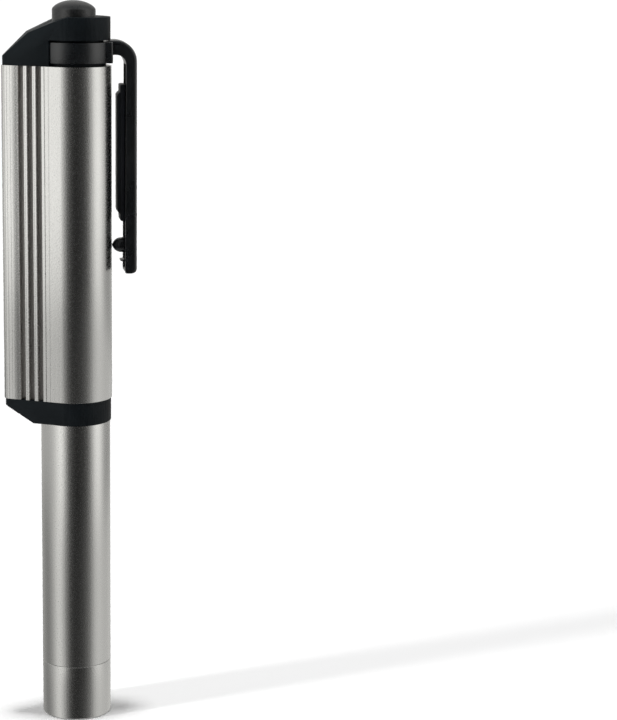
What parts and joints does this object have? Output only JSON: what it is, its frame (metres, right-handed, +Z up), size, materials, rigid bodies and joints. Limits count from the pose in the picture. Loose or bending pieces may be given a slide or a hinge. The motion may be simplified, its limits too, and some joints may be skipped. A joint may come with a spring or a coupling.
{
  "type": "penlight",
  "caption": "Slim pocket torch with a teardrop aluminium housing, swivel pocket clip, push-button tail switch and a round barrel that screws out.",
  "frame": {"origin": "on the barrel axis, at the flat end of the bezel that the light stands on", "axes": "+Z up the barrel axis from the lens end to the push button; +X from the axis to the pocket clip at rest; the housing's nose points to -X"},
  "size_m": [0.0265, 0.0148, 0.1468],
  "materials": {
    "satin_aluminium": "fine lengthwise brushed, clear anodised",
    "clear_lens": "clear, polished",
    "seal_rubber": "matte",
    "mirror_coat": "vacuum-coated mirror",
    "led_resin": "clear resin over phosphor",
    "white_board": "matte",
    "brass_part": "machined",
    "green_board": "solder mask",
    "spring_steel": "drawn wire",
    "black_plastic": "satin moulded",
    "cell_can": "plain wrapped can",
    "paper_sleeve": "matte insulating tube",
    "white_plastic": "moulded",
    "button_rubber": "soft-touch, slightly worn",
    "clip_plastic": "semi-gloss moulded",
    "pad_plastic": "satin moulded"
  },
  "bodies": {
    "housing_body": {"housing": "satin_aluminium", "collar": "black_plastic", "neck_bush": "black_plastic", "tail_cap": "black_plastic", "switch_case": "black_plastic", "switch_contact": "brass_part", "tail_spring": "spring_steel", "cell_sleeve": "paper_sleeve", "cell_upper": "cell_can", "cell_lower": "cell_can", "button_spring": "spring_steel"},
    "barrel_seal": {"barrel_oring": "seal_rubber"},
    "barrel_body": {"barrel": "satin_aluminium", "bezel": "satin_aluminium", "lens": "clear_lens", "lens_oring": "seal_rubber", "reflector": "mirror_coat", "led": "led_resin", "led_board": "white_board", "heat_sink": "brass_part", "driver_board": "green_board", "lamp_spring": "spring_steel"},
    "button": {"push_button": "button_rubber", "switch_plunger": "white_plastic"},
    "swivel_ring": {"clip_ring": "clip_plastic"},
    "clip_lever": {"clip_arm": "clip_plastic", "clip_pad": "pad_plastic"}
  },
  "joints": [
    {"name": "barrel_travel", "type": "slide", "parent": "housing_body", "child": "barrel_seal", "axis": [0, 0, -1], "range_m": [0, 0.004]},
    {"name": "barrel_turn", "type": "hinge", "parent": "barrel_seal", "child": "barrel_body", "pos_m": [0, 0, 0], "axis": [0, 0, -1], "range_deg": [0, 1441]},
    {"name": "button_press", "type": "slide", "parent": "housing_body", "child": "button", "axis": [0, 0, -1], "range_m": [0, 0.0012], "stiffness_N_per_m": 1500, "springref_m": -0.0006, "deforming": ["button_spring"]},
    {"name": "clip_swivel", "type": "hinge", "parent": "housing_body", "child": "swivel_ring", "pos_m": [0, 0, 0.1367], "axis": [0, 0, 1], "range_deg": [-95, 95]},
    {"name": "clip_flex", "type": "hinge", "parent": "swivel_ring", "child": "clip_lever", "pos_m": [0.00745, 0, 0.13915], "axis": [0, -1, 0], "range_deg": [0, 7], "stiffness_Nm_per_rad": 1}
  ],
  "couplings": [
    {"joint": "barrel_turn", "follows": "barrel_travel", "rad_per_m": 6283.2}
  ]
}
